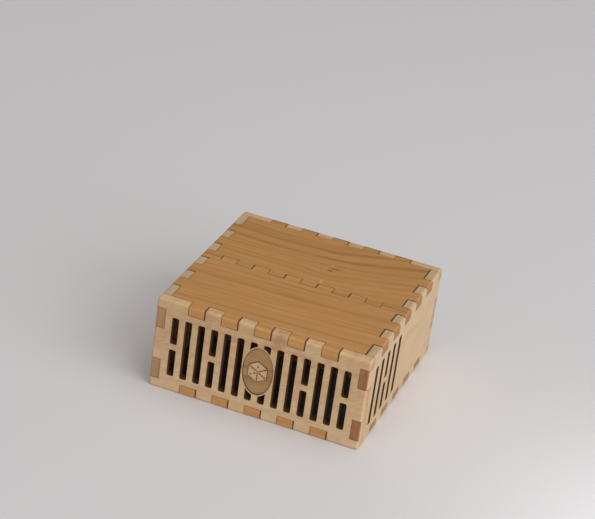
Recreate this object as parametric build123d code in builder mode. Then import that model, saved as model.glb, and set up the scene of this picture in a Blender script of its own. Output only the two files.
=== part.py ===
# A travel dice tower that closes into a flat square box.
# Maple walls are finger-jointed to cherry top and bottom boards. The front half is a
# barred cell that catches the dice. The rear half holds a chute that pulls up.
# Millimetres. Origin: centre of the underside. +X right, -Y front, +Z up.
import os

from build123d import *

os.makedirs("parts", exist_ok=True)

# Box
width = 140.0
depth = 140.0
height = 62.5
stock = 6.35                # quarter-inch board
thin_stock = 3.2            # eighth-inch board
edge_radius = 1.6           # rounded-over outer edges

# Finger joints
finger = 10.9               # width of one finger along the long edges
fingers_per_edge = 9
corner_finger = 22.4        # middle finger of each upright corner joint
kerf = 0.12                 # play each side of a glued finger
lid_play = 0.2              # play each side of a lifting finger
rest_play = 0.05            # play under a lifting board

# Bars
slot_width = 4.65
slot_height = 41.0
slot_corner = 1.1
front_slots = 14
front_slot_pitch = 8.7
side_slots = 5
bridge = 4.0                # wood left across the middle of a split slot
split_front_columns = (0, 3, 10, 13)
split_side_column = 2

# Engraved oval badge with a plain die in it
badge_half_width = 9.9
badge_half_height = 16.0
badge_side_border = 0.8
badge_end_border = 1.2
badge_lift = 1.1            # middle of the badge above mid height
engrave_depth = 0.45
die_radius = 7.2
die_line = 0.7
pip_radius = 0.75
pip_rows = ((90, (0.5,)), (210, (0.3, 0.7)), (330, (0.24, 0.5, 0.76)))

# Zigzag seam between the two top boards
seam_start = -57.0
seam_teeth = 10
seam_reach = 3.1

# Doorway in the divider
door_width = 76.0
door_height = 34.0
door_corner = 12.0

# Chute that nests in the rear bay
chute_play = 0.45
chute_base_gap = 0.3
chute_top_gap = 0.1
chute_travel = 38.0
baffle_below_top = 8.0
baffle_run = 24.0
baffle_drop = 13.0

# Ramp in the rear bay, and its brackets
ramp_margin = 1.2
ramp_toe_height = 4.6
ramp_heel_height = 31.0
bracket_x = 36.0

# Felt, magnets and the blocks in the front corners
felt_thickness = 1.5
felt_margin = 0.5
magnet_radius = 2.5
magnet_length = 2.0
glue_gap = 0.05
block_size = 11.0
block_height = 4.6
cap_magnet_y = 18.0         # each side of the middle of the chute wall
grip_height = 5.0           # holding magnets above the chute's lower edge

# Worked out from the sizes above
mid_height = height / 2
badge_height = mid_height + badge_lift
inner_x = width / 2 - stock
inner_y = depth / 2 - stock
inner_top = height - stock
chute_x = inner_x - chute_play
chute_front = stock / 2 + chute_play
chute_rear = inner_y - chute_play
chute_bottom = stock + chute_base_gap
chute_top = inner_top - chute_top_gap
chute_height = chute_top - chute_bottom
chute_mid_y = (chute_front + chute_rear) / 2
chute_mid_z = (chute_bottom + chute_top) / 2
pocket_radius = magnet_radius + glue_gap
pocket_depth = magnet_length + glue_gap
block_x = inner_x - block_size / 2
block_y = -inner_y + block_size / 2
wall_magnet_x = chute_x - stock / 2


def save(builder, name):
    """Label a finished piece and write it to its own file."""
    builder.part.label = name
    export_step(builder.part, f"parts/{name}.step")


def centred(count, pitch):
    """Places of a row of things at an even pitch, centred on zero."""
    return [(i - (count - 1) / 2) * pitch for i in range(count)]


tab_places = centred(fingers_per_edge, finger)[::2]
tab_length = mid_height - corner_finger / 2 - stock
tab_heights = (stock + tab_length / 2, height - stock - tab_length / 2)
edge_rows = (stock / 2, height - stock / 2)
front_slot_places = centred(front_slots, front_slot_pitch)
side_slot_places = [-finger * (side_slots - i) for i in range(side_slots)]


def cut_slot(place, is_split):
    """Cut one tall rounded slot in the open sketch, or two with a bridge between them."""
    shift = (slot_height + bridge) / 4 if is_split else 0
    length = (slot_height - bridge) / 2 if is_split else slot_height
    with Locations((place, mid_height + shift), (place, mid_height - shift)):
        RectangleRounded(slot_width, length, slot_corner, mode=Mode.SUBTRACT)


def cut_tab_notches():
    """Cut the notches along the top and bottom of a wall, in the open sketch."""
    with Locations(*[(place, row) for place in tab_places for row in edge_rows]):
        Rectangle(finger, stock, mode=Mode.SUBTRACT)


def end_wall_outline():
    """Front or rear wall: full width, notched for the boards and for the side walls' tabs."""
    with Locations((0, mid_height)):
        Rectangle(width, height)
    cut_tab_notches()
    ends = (-width / 2 + stock / 2, width / 2 - stock / 2)
    with Locations(*[(x, z) for x in ends for z in tab_heights]):
        Rectangle(stock, tab_length + 2 * kerf, mode=Mode.SUBTRACT)


def side_wall_outline():
    """Side wall: between the end walls, with two tabs that pass through each of them."""
    with Locations((0, mid_height)):
        Rectangle(2 * inner_y, height)
    cut_tab_notches()
    with Locations(*[(0, z) for z in tab_heights]):
        Rectangle(depth, tab_length)


def board_outline(play):
    """Top or bottom board with five tabs on every edge, in the open sketch."""
    Rectangle(2 * (inner_x - play), 2 * (inner_y - play))
    with Locations(*[(place, 0) for place in tab_places]):
        Rectangle(finger - 2 * play, depth)
    with Locations(*[(0, place) for place in tab_places]):
        Rectangle(width, finger - 2 * play)


def top_half(side):
    """The plan area on one side of the zigzag seam: -1 is the front, 1 the rear."""
    points = [(-width, 0), (seam_start, 0)]
    for tooth in range(seam_teeth):
        left = seam_start + tooth * finger
        reach = seam_reach if tooth % 2 == 0 else -seam_reach
        points += [(left, reach), (left + finger, reach)]
    seam_end = seam_start + seam_teeth * finger
    points += [(seam_end, 0), (width, 0), (width, side * depth), (-width, side * depth)]
    with BuildSketch() as half:
        with BuildLine():
            Polyline(*points, close=True)
        make_face()
        offset(amount=-lid_play / 2, kind=Kind.INTERSECTION, mode=Mode.REPLACE)
    return half.sketch


def cut_pockets(plane, places):
    """Cut magnet pockets into the open part, from a plane along its normal."""
    with BuildSketch(plane) as pockets:
        with Locations(*places):
            Circle(pocket_radius)
    extrude(pockets.sketch, amount=pocket_depth, mode=Mode.SUBTRACT)


def pip_places():
    """Places of the die's pips: one row out from its middle on each face that shows."""
    places = []
    for face_angle, steps in pip_rows:
        row = Vector(die_radius, 0).rotate(Axis.Z, face_angle)
        places += [((row * step).X, (row * step).Y) for step in steps]
    return places


# Envelope: the whole box as one rounded block, which trims the outer edges of every panel
with BuildPart() as envelope:
    with Locations((0, 0, mid_height)):
        Box(width, depth, height)
    fillet(envelope.edges(), edge_radius)

# Front wall: bars over its whole width, and the badge in the middle
front_plane = Plane.XZ.offset(depth / 2)
with BuildPart() as front_panel:
    with BuildSketch(front_plane):
        end_wall_outline()
        for column, x in enumerate(front_slot_places):
            cut_slot(x, column in split_front_columns)
        with Locations((0, badge_height)):
            Ellipse(badge_half_width + badge_side_border, badge_half_height + badge_end_border)
    extrude(amount=-stock)
    with BuildSketch(front_plane):
        with Locations((0, badge_height)):
            Ellipse(badge_half_width, badge_half_height)
            RegularPolygon(die_radius, 6, rotation=30, mode=Mode.SUBTRACT)
            with PolarLocations(die_radius / 2, 3, start_angle=30):
                Rectangle(die_radius, die_line)
            with Locations(*pip_places()):
                Circle(pip_radius)
    extrude(amount=-engrave_depth, mode=Mode.SUBTRACT)
    add(envelope.part, mode=Mode.INTERSECT)
save(front_panel, "front_panel")

# Rear wall: plain
with BuildPart() as rear_panel:
    with BuildSketch(Plane.XZ.offset(-depth / 2 + stock)):
        end_wall_outline()
    extrude(amount=-stock)
    add(envelope.part, mode=Mode.INTERSECT)
save(rear_panel, "rear_panel")

# Side walls: bars in the front half only, and a pocket inside for a holding magnet
grip_place = (chute_mid_y, chute_bottom + grip_height)
held_place = (chute_mid_y, chute_bottom + grip_height + chute_travel)
for side, name in ((-1, "left_side_panel"), (1, "right_side_panel")):
    with BuildPart() as side_panel:
        with BuildSketch(Plane.YZ.offset(side * inner_x)):
            side_wall_outline()
            for column, y in enumerate(side_slot_places):
                cut_slot(y, column == split_side_column)
        extrude(amount=side * stock)
        pocket_x = inner_x if side > 0 else -inner_x - pocket_depth
        cut_pockets(Plane.YZ.offset(pocket_x), [held_place])
        add(envelope.part, mode=Mode.INTERSECT)
    save(side_panel, name)

# Bottom board: glued into all four walls
with BuildPart() as bottom_panel:
    with BuildSketch():
        board_outline(kerf)
    extrude(amount=stock)
    add(envelope.part, mode=Mode.INTERSECT)
save(bottom_panel, "bottom_panel")

# Top boards: two halves that lift off, each with magnet pockets in its underside
lid_bottom = Plane.XY.offset(inner_top + rest_play)
lid_magnet_places = [(-block_x, block_y), (block_x, block_y)]
cap_magnet_places = [
    (x, chute_mid_y + y) for x in (-wall_magnet_x, wall_magnet_x) for y in (-cap_magnet_y, cap_magnet_y)
]
for side, name, places in (
    (-1, "top_front_panel", lid_magnet_places),
    (1, "top_rear_panel", cap_magnet_places),
):
    half = top_half(side)
    with BuildPart() as top_panel:
        with BuildSketch(lid_bottom):
            board_outline(lid_play)
            add(half, mode=Mode.INTERSECT)
        extrude(amount=stock - rest_play)
        cut_pockets(lid_bottom, places)
        add(envelope.part, mode=Mode.INTERSECT)
    save(top_panel, name)

# Divider under the seam, with a doorway for the dice
with BuildPart() as divider_panel:
    with BuildSketch(Plane.XZ.offset(-stock / 2)):
        with Locations((0, stock)):
            Rectangle(2 * inner_x, inner_top - stock, align=(Align.CENTER, Align.MIN))
            doorway = Rectangle(
                door_width, door_height, align=(Align.CENTER, Align.MIN), mode=Mode.SUBTRACT
            )
    extrude(amount=stock)
    door_top = divider_panel.edges().filter_by(Axis.Y).filter_by_position(
        Axis.Z, stock + door_height - glue_gap, stock + door_height + glue_gap
    )
    fillet(door_top, door_corner)
save(divider_panel, "divider_panel")

# Ramp that throws the dice through the doorway, on two brackets
ramp_toe_y = chute_front + thin_stock + ramp_margin
ramp_heel_y = chute_rear - thin_stock - ramp_margin
ramp_half_width = chute_x - stock - ramp_margin
ramp_rise = (ramp_heel_height - ramp_toe_height) / (ramp_heel_y - ramp_toe_y)
ramp_upright = thin_stock * (1 + ramp_rise**2) ** 0.5      # thickness measured straight up
toe = (ramp_toe_y, stock + ramp_toe_height)
heel = (ramp_heel_y, stock + ramp_heel_height)
toe_under = (toe[0], toe[1] - ramp_upright)
heel_under = (heel[0], heel[1] - ramp_upright)
with BuildPart() as exit_ramp:
    with BuildSketch(Plane.YZ):
        with BuildLine():
            Polyline(toe, heel, heel_under, toe_under, close=True)
        make_face()
    extrude(amount=ramp_half_width, both=True)
save(exit_ramp, "exit_ramp")

with BuildPart() as ramp_brackets:
    with BuildSketch(Plane.YZ.offset(-bracket_x), Plane.YZ.offset(bracket_x)):
        with BuildLine():
            Polyline(toe_under, heel_under, (heel[0], stock), (toe[0], stock), close=True)
        make_face()
    extrude(amount=thin_stock / 2, both=True)
save(ramp_brackets, "ramp_brackets")

# Blocks in the front corners, under the front lid
with BuildPart() as corner_blocks:
    with Locations(*[(x, block_y, inner_top) for x in (-block_x, block_x)]):
        Box(block_size, block_size, block_height, align=(Align.CENTER, Align.CENTER, Align.MAX))
    cut_pockets(Plane.XY.offset(inner_top - pocket_depth), lid_magnet_places)
save(corner_blocks, "corner_blocks")

# Felt on the floor of the cell
with BuildPart() as cell_felt:
    with BuildSketch(Plane.XY.offset(stock)):
        with Locations((0, (-inner_y - stock / 2) / 2)):
            Rectangle(2 * (inner_x - felt_margin), inner_y - stock / 2 - 2 * felt_margin)
    extrude(amount=felt_thickness)
save(cell_felt, "cell_felt")


def chute_end_wall(y_outer, direction, name):
    """Front or rear wall of the chute: full width in its middle third only."""
    with BuildPart() as wall:
        with BuildSketch(Plane.XZ.offset(-y_outer)):
            with Locations((0, chute_mid_z)):
                Rectangle(2 * (chute_x - stock), chute_height)
                Rectangle(2 * chute_x, chute_height / 3 - 2 * kerf)
        extrude(amount=-direction * thin_stock)
    save(wall, name)


chute_end_wall(chute_front, 1, "chute_front_wall")
chute_end_wall(chute_rear, -1, "chute_rear_wall")

# Side walls of the chute: notched for the end walls, with magnet pockets above and outside
for side, name in ((-1, "chute_left_wall"), (1, "chute_right_wall")):
    with BuildPart() as chute_wall:
        with BuildSketch(Plane.YZ.offset(side * (chute_x - stock))):
            with Locations((chute_mid_y, chute_mid_z)):
                Rectangle(chute_rear - chute_front, chute_height)
            with Locations((chute_front, chute_mid_z), (chute_rear, chute_mid_z)):
                Rectangle(2 * thin_stock, chute_height / 3, mode=Mode.SUBTRACT)
        extrude(amount=side * stock)
        wall_places = [place for place in cap_magnet_places if place[0] * side > 0]
        cut_pockets(Plane.XY.offset(chute_top - pocket_depth), wall_places)
        pocket_x = chute_x - pocket_depth if side > 0 else -chute_x
        cut_pockets(Plane.YZ.offset(pocket_x), [grip_place])
    save(chute_wall, name)

# Baffle that turns the dice over, between the chute's side walls
baffle_y = chute_front + thin_stock
baffle_z = chute_top - baffle_below_top
baffle_upright = thin_stock * (1 + (baffle_drop / baffle_run) ** 2) ** 0.5
with BuildPart() as chute_baffle:
    with BuildSketch(Plane.YZ):
        with BuildLine():
            Polyline(
                (baffle_y, baffle_z),
                (baffle_y + baffle_run, baffle_z - baffle_drop),
                (baffle_y + baffle_run, baffle_z - baffle_drop - baffle_upright),
                (baffle_y, baffle_z - baffle_upright),
                close=True,
            )
        make_face()
    extrude(amount=chute_x - stock, both=True)
save(chute_baffle, "chute_baffle")

# Magnets, grouped by the piece that holds them
held_left = Plane.YZ.offset(-inner_x - magnet_length)
held_right = Plane.YZ.offset(inner_x)
grip_left = Plane.YZ.offset(-chute_x)
grip_right = Plane.YZ.offset(chute_x - magnet_length)
magnet_groups = {
    "case_magnets": (
        (Plane.XY.offset(inner_top - magnet_length), lid_magnet_places),
        (held_left, [held_place]),
        (held_right, [held_place]),
    ),
    "lid_magnets": ((lid_bottom, lid_magnet_places),),
    "chute_magnets": (
        (Plane.XY.offset(chute_top - magnet_length), cap_magnet_places),
        (grip_left, [grip_place]),
        (grip_right, [grip_place]),
    ),
    "cap_magnets": ((lid_bottom, cap_magnet_places),),
}
for name, sets in magnet_groups.items():
    with BuildPart() as magnets:
        for plane, places in sets:
            with BuildSketch(plane):
                with Locations(*places):
                    Circle(magnet_radius)
            extrude(amount=magnet_length)
    save(magnets, name)
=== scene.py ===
import math

import bpy
import bmesh
from mathutils import Matrix, Vector, noise


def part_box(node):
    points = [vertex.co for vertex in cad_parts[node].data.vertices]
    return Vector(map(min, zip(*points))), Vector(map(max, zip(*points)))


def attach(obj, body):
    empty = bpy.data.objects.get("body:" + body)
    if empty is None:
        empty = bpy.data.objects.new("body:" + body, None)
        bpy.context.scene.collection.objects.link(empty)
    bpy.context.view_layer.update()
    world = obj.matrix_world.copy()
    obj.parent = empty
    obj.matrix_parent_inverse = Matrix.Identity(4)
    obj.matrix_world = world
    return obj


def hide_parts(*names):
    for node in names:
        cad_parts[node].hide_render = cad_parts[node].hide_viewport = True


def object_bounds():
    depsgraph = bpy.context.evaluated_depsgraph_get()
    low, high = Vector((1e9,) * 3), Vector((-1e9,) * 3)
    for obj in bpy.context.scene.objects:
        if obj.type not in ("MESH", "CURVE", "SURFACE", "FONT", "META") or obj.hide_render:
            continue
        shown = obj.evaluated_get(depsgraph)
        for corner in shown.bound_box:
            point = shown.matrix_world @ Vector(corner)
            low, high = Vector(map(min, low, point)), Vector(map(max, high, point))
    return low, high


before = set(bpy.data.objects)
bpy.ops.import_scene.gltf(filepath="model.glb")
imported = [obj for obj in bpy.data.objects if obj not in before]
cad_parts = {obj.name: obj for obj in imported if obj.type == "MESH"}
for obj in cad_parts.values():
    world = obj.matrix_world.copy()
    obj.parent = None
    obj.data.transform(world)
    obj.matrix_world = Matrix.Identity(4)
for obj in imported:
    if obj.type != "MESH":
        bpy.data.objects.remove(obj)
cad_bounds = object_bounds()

MM = 0.001

# Sizes that the shaders need, taken from the frame
half_width = cad_bounds[1].x / MM
half_depth = cad_bounds[1].y / MM
box_height = cad_bounds[1].z / MM
stock = (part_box("front_panel")[1].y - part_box("front_panel")[0].y) / MM
inner_x = half_width - stock
inner_y = half_depth - stock
mid_height = box_height / 2
board_line = mid_height - stock         # inner edge of a board on a wall, from mid height
no_line = box_height                    # added to a distance where there is no joint line

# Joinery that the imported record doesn't hold
finger = 10.9
last_finger = 5 * finger
corner_finger = 22.4
wall_tab_middle = (corner_finger / 2 + board_line) / 2
wall_tab_half = (board_line - corner_finger / 2) / 2
seam_start = -57.0
seam_teeth = 10
seam_reach = 3.1
open_gap = 0.36                         # the boards sit a little left and back in their joints
edge_radius = 1.6

# Badge
badge_half_width = 9.9
badge_half_height = 16.0
badge_lift = 1.1
die_radius = 7.2
die_apothem = die_radius * math.sqrt(0.75)
engrave_depth = 0.45

# How long the marks in the wood are: along the grain, then the two ways across it. A length of 1
# goes with a part that stays 0.
wander_lengths = (80, 30, 30)
ripple_lengths = (19, 9, 9)
fibre_lengths = (26, 0.6, 0.8)
streak_lengths = (42, 1.8, 4.0)
pore_lengths = (2.4, 0.16, 0.16)
curl_lengths = (11, 1.5, 1)
swirl_lengths = (9, 1, 1.3)
raster_lengths = (11, 1, 0.8)
band_width = 8.5
band_length = 150
cloud_size = 30
mottle_size = 6.5
scorch_patch_size = 3.2

# How far the growth rings stray
ripple_height = 1.1
uneven_width = 1.8                      # in rings
width_change = 0.43                     # changes of width for each ring
strength_change = 0.71                  # changes of strength for each ring
width_hold = 300                        # how far along the grain a width lasts
strength_hold = 95
heavy_hold = 35
heavy_wander = 0.25                     # share of the rings' wander that a heavy line follows
other_place = (7.3, 1.9, 4.1)           # keeps the two directions of the wander apart

# Finish of the wood
satin = 0.5                             # roughness of the sanded faces
rough_fibre = 0.16
rough_end = 0.1
rough_cut = 0.22
polish = 0.08
gloss = 0.3
grain_relief = 0.35
grain_depth = 0.00006


def srgb(red, green, blue):
    """Colour from 0-255 display values, as the linear colour that Blender works in."""
    def linear(value):
        value /= 255
        return value / 12.92 if value <= 0.04045 else ((value + 0.055) / 1.055) ** 2.4
    return (linear(red), linear(green), linear(blue), 1.0)


class Graph:
    """Adds nodes to a node tree, so that a shading formula reads as calls."""

    def __init__(self, tree):
        self.tree = tree

    def node(self, kind, **settings):
        made = self.tree.nodes.new(kind)
        for name, value in settings.items():
            setattr(made, name, value)
        return made

    def put(self, value, socket):
        if isinstance(value, bpy.types.NodeSocket):
            self.tree.links.new(value, socket)
        else:
            socket.default_value = value

    def math(self, operation, *values):
        made = self.node("ShaderNodeMath", operation=operation)
        for socket, value in zip(made.inputs, values):
            self.put(value, socket)
        return made.outputs[0]

    def add(self, a, b):
        return self.math("ADD", a, b)

    def sub(self, a, b):
        return self.math("SUBTRACT", a, b)

    def mul(self, a, b):
        return self.math("MULTIPLY", a, b)

    def size(self, a):
        return self.math("ABSOLUTE", a)

    def low(self, first, *others):
        for other in others:
            first = self.math("MINIMUM", first, other)
        return first

    def high(self, first, *others):
        for other in others:
            first = self.math("MAXIMUM", first, other)
        return first

    def choose(self, test, yes, no):
        """yes where test is 1, no where it is 0."""
        return self.add(self.mul(test, yes), self.mul(self.sub(1.0, test), no))

    def smooth(self, value, start, end, to_start=0.0, to_end=1.0):
        made = self.node("ShaderNodeMapRange", interpolation_type="SMOOTHSTEP")
        for socket, setting in zip(made.inputs, (value, start, end, to_start, to_end)):
            self.put(setting, socket)
        return made.outputs[0]

    def vector(self, operation, *values):
        made = self.node("ShaderNodeVectorMath", operation=operation)
        for socket, value in zip(made.inputs, values):
            self.put(value, socket)
        return made.outputs["Value" if operation in ("DOT_PRODUCT", "LENGTH") else 0]

    def scaled(self, vector, factor):
        made = self.node("ShaderNodeVectorMath", operation="SCALE")
        self.put(vector, made.inputs[0])
        self.put(factor, made.inputs["Scale"])
        return made.outputs[0]

    def split(self, vector):
        made = self.node("ShaderNodeSeparateXYZ")
        self.put(vector, made.inputs[0])
        return made.outputs[0], made.outputs[1], made.outputs[2]

    def join(self, x, y, z):
        made = self.node("ShaderNodeCombineXYZ")
        for socket, value in zip(made.inputs, (x, y, z)):
            self.put(value, socket)
        return made.outputs[0]

    def stretch(self, parts, lengths):
        """The parts of a point, each counted in its own length."""
        return self.join(*(self.mul(part, 1 / length) for part, length in zip(parts, lengths)))

    def noise(self, vector, detail=2.0, roughness=0.5, distortion=0.0):
        """Noise of about -0.5 to 0.5, one lump for each unit of the vector."""
        made = self.node("ShaderNodeTexNoise")
        self.put(vector, made.inputs["Vector"])
        self.put(1.0, made.inputs["Scale"])
        self.put(detail, made.inputs["Detail"])
        self.put(roughness, made.inputs["Roughness"])
        self.put(distortion, made.inputs["Distortion"])
        return self.sub(made.outputs["Fac"], 0.5)

    def mix(self, factor, a, b):
        made = self.node("ShaderNodeMix", data_type="RGBA", clamp_factor=True)
        self.put(factor, made.inputs[0])
        self.put(a, made.inputs[6])
        self.put(b, made.inputs[7])
        return made.outputs[2]

    def shade(self, colour, amount):
        """The colour, made lighter or darker: amount is about -1 to 1."""
        made = self.node("ShaderNodeMix", data_type="RGBA", blend_type="MULTIPLY")
        grey = self.add(amount, 1.0)
        self.put(1.0, made.inputs[0])
        self.put(colour, made.inputs[6])
        self.put(self.join(grey, grey, grey), made.inputs[7])
        return made.outputs[2]

    def relief(self, height, strength, depth, shader):
        """Fine relief in the shader's surface: depth is in metres for a height of 1."""
        bump = self.node("ShaderNodeBump")
        self.put(strength, bump.inputs["Strength"])
        self.put(depth, bump.inputs["Distance"])
        self.put(height, bump.inputs["Height"])
        self.put(bump.outputs[0], shader.inputs["Normal"])

    def place(self):
        """Where the point is on the piece at rest, in millimetres."""
        return self.scaled(self.node("ShaderNodeTexCoord").outputs["Object"], 1 / MM)

    def normal(self):
        return self.node("ShaderNodeNewGeometry").outputs["Normal"]


def new_material(name):
    """A node material, as (material, graph of its nodes, its shader node)."""
    material = bpy.data.materials.new(name)
    material.use_nodes = True
    g = Graph(material.node_tree)
    return material, g, g.tree.nodes["Principled BSDF"]


def depths_inside(g, point):
    """How deep a point lies behind a side, behind the front or rear, and below the top or above
    the bottom of the box, in millimetres."""
    x, y, z = g.split(point)
    return (
        g.sub(half_width, g.size(x)),
        g.sub(half_depth, g.size(y)),
        g.sub(mid_height, g.size(g.sub(z, mid_height))),
    )


def tab_side_lines(g, along, open_side):
    """Distance to the sides of the board tabs along an edge, less on the side where the gap is."""
    from_tab = g.math("WRAP", along, finger, -finger)
    on_open_side = g.math("GREATER_THAN", g.mul(from_tab, open_side), 0.0)
    gap = g.size(g.sub(g.size(from_tab), finger / 2))
    return g.size(from_tab), g.sub(gap, g.mul(on_open_side, open_gap))


def wall_lines(g, along, inner, height, tab_edge, overrun, open_side):
    """Distance to the joint lines on a wall: board tabs along it, and the upright corner joint."""
    ends = g.size(along)
    from_tab, sides = tab_side_lines(g, along, open_side)
    beyond = g.sub(ends, last_finger)
    tab_sides = g.high(sides, g.sub(board_line, height), beyond)
    tab_ends = g.high(g.size(g.sub(height, board_line)), g.sub(from_tab, finger / 2), beyond)
    upright = g.high(g.size(g.sub(ends, inner)), overrun)
    across = g.high(g.size(tab_edge), g.sub(inner, ends))
    return g.low(tab_sides, tab_ends, upright, across)


def board_lines(g, x, y):
    """Distance to the joint lines between a cherry board and the edges of the four walls."""
    ends_x, ends_y = g.size(x), g.size(y)
    found = []
    for along, ends, across, inner_across, side_wall, open_side in (
        (x, ends_x, ends_y, inner_y, False, 1.0),
        (y, ends_y, ends_x, inner_x, True, -1.0),
    ):
        from_tab, sides = tab_side_lines(g, along, open_side)
        on_tab = g.low(g.sub(finger / 2, from_tab), g.sub(last_finger, ends))
        shoulder = g.size(g.sub(across, inner_across))
        if side_wall:
            on_tab = g.high(on_tab, g.sub(ends, inner_y))
            shoulder = g.sub(shoulder, g.mul(g.math("GREATER_THAN", x, 0.0), open_gap))
        found.append(g.high(shoulder, on_tab))
        found.append(g.high(sides, g.sub(inner_across, across), g.sub(ends, last_finger)))
    return g.low(*found)


def seam_line(g, x, y):
    """Distance to the zigzag seam between the two top boards, open on one side of each tooth."""
    half_run = seam_teeth * finger / 2
    run = g.sub(x, seam_start)
    odd = g.math("GREATER_THAN", g.math("MODULO", run, 2 * finger), finger)
    level = g.mul(g.sub(1.0, g.mul(odd, 2.0)), seam_reach)
    tooth_tops = g.size(g.sub(y, level))
    from_open_side = g.size(g.math("WRAP", run, finger, -finger))
    closed_sides = g.size(g.sub(finger, from_open_side))
    open_sides = g.sub(from_open_side, open_gap)
    tooth_sides = g.high(g.low(closed_sides, open_sides), g.sub(g.size(y), seam_reach))
    in_zigzag = g.math("LESS_THAN", g.size(g.sub(run, half_run)), half_run)
    return g.choose(in_zigzag, g.low(tooth_tops, tooth_sides), g.size(y))


def make_joint_group():
    """Node group: distance in millimetres to the nearest joint line on the outside of the box."""
    tree = bpy.data.node_groups.new("joint_lines", "ShaderNodeTree")
    tree.interface.new_socket("Distance", in_out="OUTPUT", socket_type="NodeSocketFloat")
    g = Graph(tree)
    point = g.place()
    x, y, z = g.split(point)
    height = g.size(g.sub(z, mid_height))
    tab_edge = g.sub(g.size(g.sub(height, wall_tab_middle)), wall_tab_half)
    end_walls = wall_lines(g, x, inner_x, height, tab_edge, tab_edge, 1.0)
    side_walls = wall_lines(g, y, inner_y, height, tab_edge, g.mul(tab_edge, -1.0), -1.0)
    boards = board_lines(g, x, y)
    below = g.math("LESS_THAN", z, mid_height)
    boards = g.low(boards, g.add(seam_line(g, x, y), g.mul(below, no_line)))
    nx, ny, nz = (g.size(part) for part in g.split(g.normal()))
    faces_up = g.math("GREATER_THAN", nz, g.high(nx, ny))
    faces_end = g.math("GREATER_THAN", ny, nx)
    lines = g.choose(faces_up, boards, g.choose(faces_end, end_walls, side_walls))
    sunk = g.math("GREATER_THAN", g.low(*depths_inside(g, point)), edge_radius)
    lines = g.add(lines, g.mul(sunk, no_line))
    result = g.node("NodeGroupOutput")
    g.put(lines, result.inputs[0])
    return tree


joint_group = make_joint_group()


def grain_axes(g, point, grain):
    """The point split into (along the grain, and the two directions across it)."""
    x, y, z = g.split(point)
    return {"X": (x, y, z), "Y": (y, x, z)}[grain]


def bend_round_knot(g, point, knot):
    """Moves the point so that growth lines sag, part round a knot and climb away to its right."""
    x, y, z = g.split(point)
    across = g.sub(y, knot["y"])
    along = g.sub(x, knot["x"])
    past_turn = g.add(along, g.smooth(y, *knot["turn_drift"]))
    soft = g.math("SQRT", g.add(g.mul(past_turn, past_turn), knot["turn"] ** 2))
    beyond = g.mul(g.add(past_turn, soft), 0.5)
    climb = g.mul(beyond, g.smooth(y, *knot["slope_past_turn"]))
    climb = g.add(climb, g.mul(x, g.smooth(y, *knot["slope_in_front"])))
    sag = g.smooth(g.size(g.sub(x, knot["sag_x"])), *knot["sag"])
    sag = g.mul(sag, g.smooth(y, *knot["sag_rows"]))
    reach = g.vector("LENGTH", g.join(g.mul(along, knot["squeeze"]), across, 0.0))
    pull = g.smooth(reach, *knot["pull"])
    bent = g.add(g.sub(g.sub(y, g.mul(across, pull)), climb), sag)
    return g.join(x, bent, z)


def knot_masks(g, point, knot):
    """(orange halo, dark eye, pale fleck) of a small knot. The eye is a dark blob with an arc above
    it, and the fleck is the bright spots where the lines dip."""
    x, y, _ = g.split(point)
    along, across = g.sub(x, knot["x"]), g.sub(y, knot["y"])
    torn = g.mul(g.noise(g.scaled(point, 1 / knot["tear_size"]), 2.0), knot["tear"])

    def nearest(ovals):
        """Distance from the middle of the nearest torn oval, where 1 is its edge."""
        found = []
        for right, up, half_length, half_height, tilt in ovals:
            from_right = g.sub(along, right)
            from_up = g.sub(g.sub(across, up), g.mul(from_right, tilt))
            place = g.join(g.mul(from_right, 1 / half_length), g.mul(from_up, 1 / half_height), 0.0)
            found.append(g.add(g.vector("LENGTH", place), torn))
        return g.low(*found)

    eye = g.smooth(nearest(knot["eye_ovals"]), *knot["eye_edge"])
    halo = g.smooth(g.vector("LENGTH", g.join(along, across, 0.0)), *knot["halo_edge"])
    fleck = g.smooth(nearest(knot["fleck_ovals"]), *knot["fleck_edge"])
    return halo, eye, fleck


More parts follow.
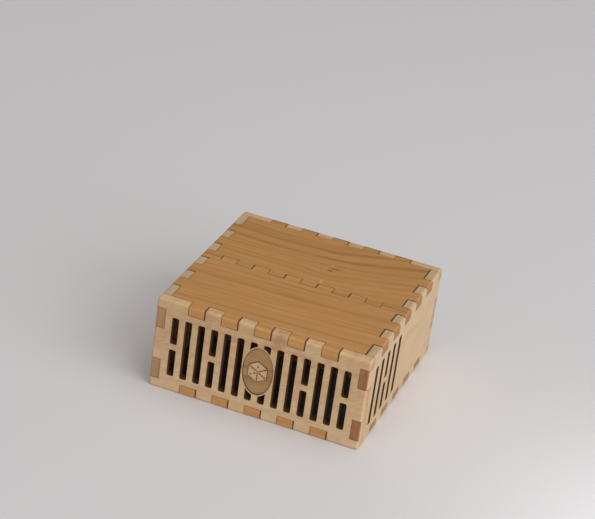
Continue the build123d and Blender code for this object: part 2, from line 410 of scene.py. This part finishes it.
def wood_figure(g, point, grain, board, knot=None):
    """Growth rings, fibres and pores of a board. Returns the masks that the colours use."""
    if knot:
        point = bend_round_knot(g, point, knot)
    u, v, w = grain_axes(g, point, grain)
    seed = board["seed"]
    slow = g.vector("ADD", g.stretch((u, v, w), wander_lengths), seed)
    ripple = g.mul(g.noise(g.stretch((u, v, w), ripple_lengths), 1.0), ripple_height)
    wander_v = g.add(g.mul(g.noise(slow, 1.5), board["wander"]), ripple)
    wander_w = g.mul(g.noise(g.vector("ADD", slow, other_place), 1.5), board["wander"])
    ring_v = g.add(g.sub(v, board["pith"][0]), g.add(wander_v, g.mul(u, board["lean"])))
    ring_w = g.add(g.sub(w, board["pith"][1]), wander_w)
    radius = g.math("SQRT", g.add(g.mul(ring_v, ring_v), g.mul(ring_w, ring_w)))

    # Late wood: rings of uneven width and strength, dark just before the next one starts
    phase = g.mul(radius, 1 / board["ring"])
    uneven = g.noise(g.join(g.mul(phase, width_change), g.mul(u, 1 / width_hold), seed[0]), 2.0)
    phase = g.add(phase, g.mul(uneven, uneven_width))
    step = g.math("FRACT", phase)
    darkest = 0.84
    late = g.mul(g.smooth(step, 0.3, darkest), g.smooth(step, darkest, 1.0, 1.0, 0.0))
    place = g.join(g.mul(phase, strength_change), g.mul(u, 1 / strength_hold), seed[1])
    strength = g.noise(place, 2.0)
    strongest = 0.65 if board["heavy"] else 1.0
    late = g.mul(late, g.smooth(strength, -0.2, 0.22, 0.1, strongest))
    for level, reach, depth in board["heavy"]:
        swell = g.add(g.noise(g.join(g.mul(u, 1 / heavy_hold), level, 0.0), 1.0), 1.0)
        from_line = g.size(g.add(g.sub(v, level), g.mul(wander_v, heavy_wander)))
        line = g.smooth(from_line, reach * 0.1, reach, 1.0, 0.0)
        late = g.high(late, g.mul(line, g.mul(swell, depth)))

    band_place = g.join(g.mul(radius, 1 / band_width), g.mul(u, 1 / band_length), seed[2])
    streak_place = g.vector("ADD", g.stretch((u, radius, w), streak_lengths), seed)
    cloud = g.noise(g.vector("ADD", g.scaled(point, 1 / cloud_size), seed), 2.0)
    across = g.add(v, w)
    slanted = (g.add(u, g.mul(across, 0.5)), g.sub(across, g.mul(u, 0.5)), 0.0)
    curl = g.noise(g.stretch(slanted, curl_lengths), 2.0, 0.5, 0.5)
    return {
        "late": late,
        "band": g.noise(band_place, 1.0),
        "fibre": g.noise(g.stretch((u, radius, w), fibre_lengths), 3.0, 0.6, 0.4),
        "streak": g.noise(streak_place, 2.0, 0.5, 0.3),
        "pore": g.smooth(g.noise(g.stretch((u, v, w), pore_lengths), 1.0), 0.14, 0.26),
        "cloud": cloud,
        "curl": g.mul(curl, g.smooth(cloud, -0.1, 0.1)),
    }


def end_grain(g, grain):
    """1 on faces that cut across the grain, 0 along it."""
    along = {"X": 0, "Y": 1}[grain]
    return g.smooth(g.size(g.split(g.normal())[along]), 0.62, 0.9)


def laser_cut(g, point, thickness, sanded):
    """1 on the laser-cut faces of a sheet. A sanded panel is clean where it meets the outside."""
    facing = g.size(g.vector("DOT_PRODUCT", g.normal(), thickness))
    cut = g.smooth(facing, 0.5, 0.72, 1.0, 0.0)
    if sanded:
        depths = depths_inside(g, point)
        in_plane = [depth for depth, part in zip(depths, thickness) if part == 0]
        cut = g.mul(cut, g.smooth(g.low(*in_plane), 0.9, 1.3))
    return cut


def badge_masks(g, point):
    """(engraved floor, burnt outline) of the oval badge on the front wall."""
    x, y, z = g.split(point)
    z = g.sub(z, mid_height + badge_lift)
    oval = g.vector("LENGTH", g.stretch((x, 0.0, z), (badge_half_width, 1, badge_half_height)))
    oval_gap = g.size(g.mul(g.sub(oval, 1.0), badge_half_width))
    sloped_x, sloped_z = math.cos(math.radians(60)), math.sin(math.radians(60))
    sloped = [g.size(g.add(g.mul(x, sloped_x), g.mul(z, sign * sloped_z))) for sign in (-1, 1)]
    die_gap = g.size(g.sub(g.high(g.size(x), *sloped), die_apothem))
    sunk = g.add(y, half_depth)
    near_front = g.math("LESS_THAN", sunk, engrave_depth * 2)
    floor = g.smooth(sunk, engrave_depth * 0.5, engrave_depth * 0.9)
    floor = g.mul(g.mul(floor, g.math("LESS_THAN", oval, 1.02)), near_front)
    outline = g.mul(g.smooth(g.low(oval_gap, die_gap), 0.12, 0.4, 1.0, 0.0), near_front)
    return floor, outline


def edge_rub(g, point):
    """1 along the outer edges and corners of the box, where hands polish it, fading inward."""
    side, end, level = depths_inside(g, point)
    nearest = g.low(side, end, level)
    second = g.low(g.high(side, end), g.high(end, level), g.high(side, level))
    along_edge = g.smooth(second, 0.5, 3.4, 1.0, 0.0)
    return g.mul(along_edge, g.smooth(nearest, edge_radius / 2, edge_radius, 1.0, 0.0))


def add_badge(g, point, colour, late, palette):
    """Rastered floor and burnt outline of the badge over a wall's colour."""
    engraved, outline = badge_masks(g, point)
    x, _, z = g.split(point)
    raster = g.noise(g.stretch((x, 0.0, z), raster_lengths), 2.0)
    streaks = g.sub(g.mul(raster, 0.7), g.mul(late, 0.4))
    colour = g.mix(g.mul(engraved, 0.9), colour, g.shade(palette["engraved"], streaks))
    return g.mix(g.mul(outline, 0.7), colour, palette["scorch"])


def add_swirl(g, point, colour, swirl):
    """Wavy grain that climbs to the right across a wall, strongest round one place."""
    x, _, z = g.split(point)
    cosine, sine = math.cos(swirl["slope"]), math.sin(swirl["slope"])
    along = g.add(g.mul(x, cosine), g.mul(z, sine))
    across = g.sub(g.mul(z, cosine), g.mul(x, sine))
    waves = g.noise(g.stretch((along, 0.0, across), swirl_lengths), 2.0, 0.55, 0.4)
    from_middle = (g.sub(x, swirl["x"]), 0.0, g.sub(z, swirl["z"]))
    from_middle = g.vector("LENGTH", g.stretch(from_middle, swirl["half_size"]))
    return g.shade(colour, g.mul(waves, g.smooth(from_middle, *swirl["depth"])))


def add_painted_floor_light(g, point, colour, painted_floor_light):
    """Painted light from the floor: a paler colour along the lower edge of a wall, fading upward.
    Higher up, forward faces get painted shade and upward faces a painted highlight.
    """
    x, _, z = g.split(point)
    waver = g.mul(g.noise(g.scaled(point, 1 / painted_floor_light["waver_size"]), 1.0), painted_floor_light["waver"])
    rise = g.add(z, g.add(g.mul(x, painted_floor_light["tilt"]), waver))
    away_from_floor = g.smooth(rise, *painted_floor_light["rows"])
    colour = g.mix(g.smooth(away_from_floor, *painted_floor_light["share"]), colour, painted_floor_light["colour"])
    _, ny, nz = g.split(g.normal())
    face, top = g.mul(g.size(ny), painted_floor_light["painted_face_shade"]), g.mul(g.size(nz), painted_floor_light["painted_top_highlight"])
    return g.shade(colour, g.mul(away_from_floor, g.add(face, top)))


def painted_rear_shade(g, point):
    """Painted shade along the rear edge of the top, on the upper part of its round-over, in the
    colour of the cut faces.
    """
    _, y, _ = g.split(point)
    from_rear = g.sub(half_depth, y)
    return g.mul(g.smooth(from_rear, 1.4, 2.5, 0.8, 0.0), g.smooth(from_rear, 0.3, 0.9))


def stain_mask(g, point, stain):
    """A mineral stain with a torn edge, at a place on the wall."""
    spread = g.vector("SUBTRACT", point, stain["place"])
    spread = g.vector("DIVIDE", spread, stain["half_size"])
    torn = g.noise(g.stretch(g.split(point), stain["tear_lengths"]), 3.0, 0.65)
    reach = g.add(g.vector("LENGTH", spread), g.mul(torn, stain["tear"]))
    return g.smooth(reach, *stain["edge"])


def wood(
    name, grain, thickness, board, palette, sanded=True, badge=False, knot=None, end=None, marks=None
):
    """Satin-finished board: figure, end grain, scorched cuts and joint lines. A knot brings the
    painted shade along the rear edge of the top with it. The marks are a wall's swirl, painted
    floor light with painted shade and highlight by facing, and stain."""
    material, g, shader = new_material(name)
    point = g.place()
    figure = wood_figure(g, point, grain, board, knot)
    colour = g.mix(figure["late"], palette["early"], palette["late"])
    colour = g.mix(g.smooth(figure["cloud"], -0.2, 0.2, 0.0, 0.6), colour, palette["blush"])
    colour = g.shade(colour, g.mul(figure["band"], palette["band"]))
    ends = end_grain(g, grain)
    end_colour = g.shade(end or palette["end"], g.mul(figure["late"], -0.2))
    colour = g.mix(g.mul(ends, 0.9), colour, end_colour)
    colour = g.shade(colour, g.mul(figure["fibre"], palette["fibre"]))
    colour = g.shade(colour, g.mul(figure["streak"], palette["streak"]))
    colour = g.shade(colour, g.mul(figure["curl"], palette["curl"]))
    mottle = g.noise(g.vector("ADD", g.scaled(point, 1 / mottle_size), board["seed"]), 3.0, 0.6)
    colour = g.mix(g.smooth(mottle, -0.1, 0.25, 0.0, palette["mottle"]), colour, palette["patch"])
    colour = g.mix(g.mul(figure["pore"], palette["pore"]), colour, palette["late"])
    if knot:
        halo, eye, fleck = knot_masks(g, point, knot)
        colour = g.mix(g.mul(halo, knot["halo_share"]), colour, knot["halo"])
        colour = g.mix(g.mul(eye, knot["eye_share"]), colour, knot["eye"])
        colour = g.mix(g.mul(fleck, knot["fleck_share"]), colour, knot["fleck"])
        # Painted shade along the rear edge of the top
        colour = g.mix(painted_rear_shade(g, point), colour, palette["cut"])
    rub = edge_rub(g, point)
    if marks:
        colour = add_swirl(g, point, colour, marks["swirl"])
        # Painted light and shade: paler low on the wall, painted shade and highlight by facing higher up
        colour = add_painted_floor_light(g, point, colour, marks["painted_floor_light"])
        colour = g.mix(stain_mask(g, point, marks["stain"]), colour, marks["stain"]["colour"])
    if badge:
        colour = add_badge(g, point, colour, figure["late"], palette)
    cut = laser_cut(g, point, thickness, sanded)
    colour = g.mix(g.mul(cut, 0.9), colour, g.shade(palette["cut"], g.mul(figure["fibre"], 0.6)))
    if sanded:
        colour = g.shade(colour, g.mul(rub, palette["rub"]))
        patchy = g.add(g.noise(g.scaled(point, 1 / scorch_patch_size), 3.0), 1.0)
        lines = g.node("ShaderNodeGroup", node_tree=joint_group).outputs[0]
        burnt = g.smooth(lines, -0.3, g.mul(patchy, palette["line"]), palette["burn"], 0.0)
        colour = g.mix(burnt, colour, palette["scorch"])
    g.put(colour, shader.inputs["Base Color"])
    rough = g.add(satin, g.mul(figure["fibre"], rough_fibre))
    rough = g.add(rough, g.add(g.mul(ends, rough_end), g.mul(cut, rough_cut)))
    g.put(g.sub(rough, g.mul(rub, polish)), shader.inputs["Roughness"])
    g.put(gloss, shader.inputs["Specular IOR Level"])
    relief = g.add(g.mul(figure["fibre"], 0.6), g.mul(figure["pore"], -0.5))
    g.relief(relief, grain_relief, grain_depth, shader)
    return material


maple_colours = {
    "early": srgb(219, 186, 141),
    "late": srgb(202, 164, 118),
    "blush": srgb(213, 172, 126),
    "patch": srgb(202, 156, 117),
    "end": srgb(187, 150, 111),
    "engraved": srgb(174, 133, 82),
    "scorch": srgb(70, 40, 20),
    "cut": srgb(88, 53, 27),
    "band": 0.12,
    "fibre": 0.14,
    "streak": 0.12,
    "curl": 0.55,
    "mottle": 0.7,
    "pore": 0.2,
    "rub": 0.06,
    "line": 0.5,
    "burn": 1.0,
}
cherry_colours = {
    "early": srgb(207, 154, 92),
    "late": srgb(176, 118, 60),
    "blush": srgb(203, 144, 87),
    "patch": srgb(195, 137, 79),
    "end": srgb(160, 119, 82),
    "scorch": srgb(52, 28, 14),
    "cut": srgb(78, 44, 22),
    "band": 0.30,
    "fibre": 0.12,
    "streak": 0.28,
    "curl": 0.0,
    "mottle": 0.25,
    "pore": 0.3,
    "rub": 0.03,
    "line": 0.5,
    "burn": 1.0,
}
rear_leaf_colours = dict(
    cherry_colours,
    early=srgb(200, 149, 88),
    late=srgb(170, 114, 57),
    blush=srgb(196, 139, 83),
    patch=srgb(188, 132, 75),
    scorch=srgb(92, 56, 30),
    burn=0.8,
)
plain_maple_colours = dict(maple_colours, early=srgb(208, 174, 128), late=srgb(186, 148, 102))
pale_maple_colours = dict(
    maple_colours,
    early=srgb(208, 182, 144),
    late=srgb(191, 161, 120),
    blush=srgb(204, 172, 132),
    curl=0.24,
    mottle=0.22,
    streak=0.2,
)
rear_maple_colours = dict(
    maple_colours,
    scorch=srgb(104, 68, 40),
    curl=0.3,
    mottle=0.3,
    streak=0.2,
    burn=0.8,
)
left_tab_ends = srgb(178, 137, 94)
right_tab_ends = srgb(151, 98, 52)


def board(ring, pith, wander, lean, seed, heavy=()):
    """How a board was sawn: ring spacing, where the pith lies, how far the lines stray, and any
    heavy late-wood lines as (place across the board, half width, depth)."""
    return {"ring": ring, "pith": pith, "wander": wander, "lean": lean, "seed": seed, "heavy": heavy}


# A setting of four numbers is a ramp: from, to, value at from, value at to. One of two numbers
# rises from 0 to 1. An oval is right, up, half length, half height and tilt, from the knot.
top_knot = {
    "x": 9.0,
    "y": 25.0,
    "turn": 4.0,                                # how softly the lines turn up past the knot
    "turn_drift": (36.0, 62.0, 0.0, 14.0),      # the turn comes earlier towards the rear
    "slope_past_turn": (-20.0, 40.0, 0.04, 0.32),
    "slope_in_front": (-20.0, 25.0, 0.035, 0.0),
    "sag_x": -36.0,
    "sag": (0.0, 30.0, 1.5, 0.0),
    "sag_rows": (22.0, 36.0),
    "squeeze": 0.8,                             # the parted lines reach farther along the board
    "pull": (0.0, 19.0, 0.5, 0.0),
    "tear_size": 1.9,
    "tear": 1.1,
    "eye_ovals": ((-0.7, -1.5, 2.6, 1.7, 0.1), (1.8, 2.2, 5.0, 1.5, 0.14)),
    "eye_edge": (0.2, 1.2, 1.0, 0.0),
    "eye_share": 0.62,
    "eye": srgb(118, 68, 34),
    "halo_edge": (1.0, 8.0, 1.0, 0.0),
    "halo_share": 0.35,
    "halo": srgb(216, 150, 82),
    "fleck_ovals": ((-0.6, -18.0, 1.2, 2.6, 0.0), (-1.2, 6.0, 1.6, 1.2, 0.0)),
    "fleck_edge": (0.2, 1.3, 1.0, 0.0),
    "fleck_share": 0.45,
    "fleck": srgb(232, 184, 126),
}
front_marks = {
    "swirl": {
        "slope": math.radians(33),
        "x": 36.0,
        "z": 48.0,
        "half_size": (34, 1, 16),
        "depth": (0.3, 1.2, 0.6, 0.15),
    },
    # Painted floor light low on the wall, and painted shade and highlight by facing higher up
    "painted_floor_light": {
        "tilt": 0.06,
        "waver_size": 24,
        "waver": 14.0,
        "rows": (4.0, 56.0),
        "share": (0.0, 0.9, 0.3, 0.0),
        "colour": srgb(231, 206, 167),
        "painted_face_shade": -0.07,
        "painted_top_highlight": 0.08,
    },
    "stain": {
        "place": (11.0, -half_depth, 57.5),
        "half_size": (6.0, 30.0, 8.0),
        "tear_lengths": (3, 9, 3),
        "tear": 2.2,
        "edge": (0.35, 1.15, 0.55, 0.0),
        "colour": srgb(176, 122, 72),
    },
}
heavy_lines = (
    (56.0, 3.2, 0.45),
    (47.6, 2.9, 0.85),
    (37.8, 3.1, 0.95),
    (18.2, 1.2, 0.55),
    (12.5, 1.1, 0.4),
    (-9.5, 1.3, 0.6),
    (-22.8, 3.2, 0.75),
    (-28.3, 1.0, 0.4),
    (-36.5, 1.3, 0.4),
    (-41.5, 1.4, 0.6),
    (-47.5, 1.4, 0.4),
    (-56.0, 1.4, 0.65),
)
top_board = board(3.7, (-330.0, -290.0), 3.6, 0.0, (1.7, 5.2, 3.3), heavy_lines)
bottom_board = board(4.1, (310.0, -320.0), 5.0, 0.02, (8.1, 2.4, 6.6))
front_board = board(4.6, (150.0, -120.0), 12.0, 0.03, (4.4, 9.1, 0.8))
rear_board = board(4.9, (-125.0, -112.0), 12.0, -0.03, (6.9, 3.5, 2.2))
left_board = board(4.5, (210.0, 20.0), 8.0, 0.02, (2.8, 7.7, 5.5))
right_board = board(4.7, (-210.0, 14.0), 8.0, -0.02, (9.6, 0.9, 7.4))
inner_board = board(4.4, (60.0, -120.0), 10.0, 0.02, (3.1, 6.1, 9.9))


def paint(node, material):
    """Gives a carried-over CAD node its material."""
    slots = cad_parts[node].data.materials
    slots.clear()
    slots.append(material)


def paint_wood():
    """The boards outside, each with its own figure, and the plainer ones inside."""
    front_leaf = wood("cherry_front_leaf", "X", (0, 0, 1), top_board, cherry_colours, knot=top_knot)
    rear_leaf = wood("cherry_rear_leaf", "X", (0, 0, 1), top_board, rear_leaf_colours, knot=top_knot)
    cherry_bottom = wood("cherry_bottom", "X", (0, 0, 1), bottom_board, cherry_colours)
    paint("top_front_panel", front_leaf)
    paint("top_rear_panel", rear_leaf)
    paint("bottom_panel", cherry_bottom)
    front = wood(
        "maple_front", "X", (0, 1, 0), front_board, maple_colours, badge=True, marks=front_marks
    )
    paint("front_panel", front)
    paint("rear_panel", wood("maple_rear", "X", (0, 1, 0), rear_board, rear_maple_colours))
    left = wood("maple_left", "Y", (1, 0, 0), left_board, pale_maple_colours, end=left_tab_ends)
    right = wood("maple_right", "Y", (1, 0, 0), right_board, pale_maple_colours, end=right_tab_ends)
    paint("left_side_panel", left)
    paint("right_side_panel", right)
    end_inner = wood("inner_end", "X", (0, 1, 0), inner_board, plain_maple_colours, sanded=False)
    side_inner = wood("inner_side", "Y", (1, 0, 0), inner_board, plain_maple_colours, sanded=False)
    flat_inner = wood("inner_flat", "X", (0, 0, 1), inner_board, plain_maple_colours, sanded=False)
    for node in ("divider_panel", "chute_front_wall", "chute_rear_wall"):
        paint(node, end_inner)
    for node in ("chute_left_wall", "chute_right_wall", "ramp_brackets"):
        paint(node, side_inner)
    for node in ("exit_ramp", "chute_baffle", "corner_blocks"):
        paint(node, flat_inner)


paint_wood()


def magnet_material():
    """Nickel-plated disc: fine turning marks and a few dull patches."""
    material, g, shader = new_material("nickel")
    point = g.place()
    fine = g.noise(g.scaled(point, 5.0), 3.0)
    dull = g.noise(g.scaled(point, 0.7), 2.0)
    g.put(g.shade(srgb(198, 198, 202), g.mul(dull, 0.25)), shader.inputs["Base Color"])
    g.put(1.0, shader.inputs["Metallic"])
    g.put(g.add(0.24, g.add(g.mul(fine, 0.1), g.mul(dull, 0.2))), shader.inputs["Roughness"])
    return material


nickel = magnet_material()
for node in ("case_magnets", "lid_magnets", "chute_magnets", "cap_magnets"):
    paint(node, nickel)


def felt_material():
    """Pressed wool felt: matted fibres with a soft sheen."""
    material, g, shader = new_material("black_felt")
    point = g.place()
    lumps = g.noise(g.scaled(point, 1 / 1.4), 4.0, 0.7, 1.2)
    hairs = g.noise(g.scaled(point, 1 / 0.3), 3.0, 0.7, 2.5)
    dark, light = srgb(22, 20, 22), srgb(58, 54, 58)
    colour = g.mix(g.smooth(g.add(lumps, hairs), -0.3, 0.4), dark, light)
    g.put(colour, shader.inputs["Base Color"])
    g.put(0.95, shader.inputs["Roughness"])
    g.put(0.35, shader.inputs["Sheen Weight"])
    g.relief(g.add(lumps, hairs), 0.8, 0.0002, shader)
    return material


def make_felt():
    """Felt mat: a closed sheet whose top is uneven and whose edges are pressed down."""
    low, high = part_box("cell_felt")
    columns, rows = 126, 60
    crown = 0.00045
    lump_size, lump_height = 0.0022, 0.00012
    mesh = bmesh.new()
    points = {}
    for level, base in ((0, low.z), (1, high.z)):
        for i in range(columns + 1):
            for j in range(rows + 1):
                x = low.x + (high.x - low.x) * i / columns
                y = low.y + (high.y - low.y) * j / rows
                edge = min(i, columns - i, j, rows - j)
                z = base
                if level:
                    lump = noise.noise(Vector((x, y, 0.0)) / lump_size)
                    drop = crown * (1 - min(edge / 2, 1.0)) ** 2
                    z -= drop + lump_height * (1 + lump) / 2
                points[level, i, j] = mesh.verts.new((x, y, z))
    for i in range(columns):
        for j in range(rows):
            for level, turn in ((0, -1), (1, 1)):
                corners = [points[level, i, j], points[level, i + 1, j],
                           points[level, i + 1, j + 1], points[level, i, j + 1]]
                mesh.faces.new(corners[::turn])
    for i in range(columns):
        for j, turn in ((0, 1), (rows, -1)):
            corners = [points[0, i, j], points[0, i + 1, j], points[1, i + 1, j], points[1, i, j]]
            mesh.faces.new(corners[::turn])
    for j in range(rows):
        for i, turn in ((0, -1), (columns, 1)):
            corners = [points[0, i, j], points[0, i, j + 1], points[1, i, j + 1], points[1, i, j]]
            mesh.faces.new(corners[::turn])
    data = bpy.data.meshes.new("felt_mat")
    mesh.to_mesh(data)
    mesh.free()
    for face in data.polygons:
        face.use_smooth = True
    piece = bpy.data.objects.new("felt_mat", data)
    bpy.context.scene.collection.objects.link(piece)
    data.materials.append(felt_material())
    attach(piece, "case")
    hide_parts("cell_felt")


make_felt()


def studio_floor():
    """Pale seamless floor, wide enough to fill the view. Seen from below it isn't there: its
    underside is clear, and so is its top to rays that start within touching distance."""
    reach = 6.0
    gap = 0.0001
    touching = 0.0006
    data = bpy.data.meshes.new("floor")
    corners = [(x * reach, y * reach, -gap) for x, y in ((-1, -1), (1, -1), (1, 1), (-1, 1))]
    data.from_pydata(corners, [], [(0, 1, 2, 3)])
    floor = bpy.data.objects.new("floor", data)
    bpy.context.scene.collection.objects.link(floor)
    material, g, shader = new_material("floor")
    shader.inputs["Base Color"].default_value = srgb(234, 232, 233)
    shader.inputs["Roughness"].default_value = 0.8
    shader.inputs["Specular IOR Level"].default_value = 0.1
    one_way = g.node("ShaderNodeMixShader")
    near = g.math("LESS_THAN", g.node("ShaderNodeLightPath").outputs["Ray Length"], touching)
    g.put(g.high(g.node("ShaderNodeNewGeometry").outputs["Backfacing"], near), one_way.inputs[0])
    g.put(shader.outputs[0], one_way.inputs[1])
    g.put(g.node("ShaderNodeBsdfTransparent").outputs[0], one_way.inputs[2])
    g.put(one_way.outputs[0], g.tree.nodes["Material Output"].inputs["Surface"])
    data.materials.append(material)
    floor.visible_shadow = False


def area_light(name, place, aim, size, power, colour):
    """Soft square lamp that points at a place."""
    light = bpy.data.lights.new(name, "AREA")
    light.shape = "SQUARE"
    light.size = size
    light.energy = power
    light.color = colour
    lamp = bpy.data.objects.new(name, light)
    lamp.location = place
    lamp.rotation_mode = "QUATERNION"
    lamp.rotation_quaternion = (Vector(aim) - Vector(place)).to_track_quat("-Z", "Y")
    bpy.context.scene.collection.objects.link(lamp)
    return light


def studio_light():
    """Large soft lamps above, to the right and in front, a small one for the floor, and dim sky."""
    centre = (0.0, 0.0, mid_height * MM)
    area_light("overhead", (0.4, 0.3, 4.0), centre, size=3.5, power=44.7, colour=(1.04, 1.0, 0.97))
    area_light("right", (2.4, -1.0, 1.2), centre, size=3.4, power=71.7, colour=(1.0, 1.0, 1.02))
    area_light("front", (-0.5, -3.0, 1.5), centre, size=3.4, power=12.2, colour=(1.05, 1.0, 0.93))
    pool_x, pool_y, pool_height = 0.32, -0.09, 0.4      # brightens the floor to the right of the box
    above, below = (pool_x, pool_y, pool_height), (pool_x, pool_y, 0.0)
    pool = area_light("pool", above, below, size=0.16, power=0.08, colour=(1.0, 1.0, 1.0))
    pool.spread = math.radians(55)
    world = bpy.data.worlds.new("studio")
    world.use_nodes = True
    sky = world.node_tree.nodes["Background"]
    sky.inputs["Color"].default_value = (0.98, 0.98, 1.0, 1.0)
    sky.inputs["Strength"].default_value = 0.19
    bpy.context.scene.world = world


def studio_camera():
    """Long lens above and to the right of the barred front, rolled as the photo's camera was."""
    azimuth, elevation, roll = math.radians(17.37), math.radians(27.72), math.radians(8.19)
    distance = 1.411
    aim = Vector((-0.03265, 0.08237, mid_height * MM))
    back = Vector((
        math.sin(azimuth) * math.cos(elevation),
        -math.cos(azimuth) * math.cos(elevation),
        math.sin(elevation),
    ))
    camera = bpy.data.objects.new("camera", bpy.data.cameras.new("camera"))
    camera.data.lens = 126.7
    camera.data.sensor_width = 36.0
    camera.data.clip_start = 0.01
    camera.data.clip_end = 50.0
    camera.location = aim + back * distance
    camera.rotation_mode = "QUATERNION"
    level = (-back).to_track_quat("-Z", "Y")
    camera.rotation_quaternion = level @ Matrix.Rotation(roll, 3, "Z").to_quaternion()
    bpy.context.scene.collection.objects.link(camera)
    bpy.context.scene.camera = camera


studio_floor()
studio_light()
studio_camera()
bpy.context.scene.view_settings.view_transform = "Standard"
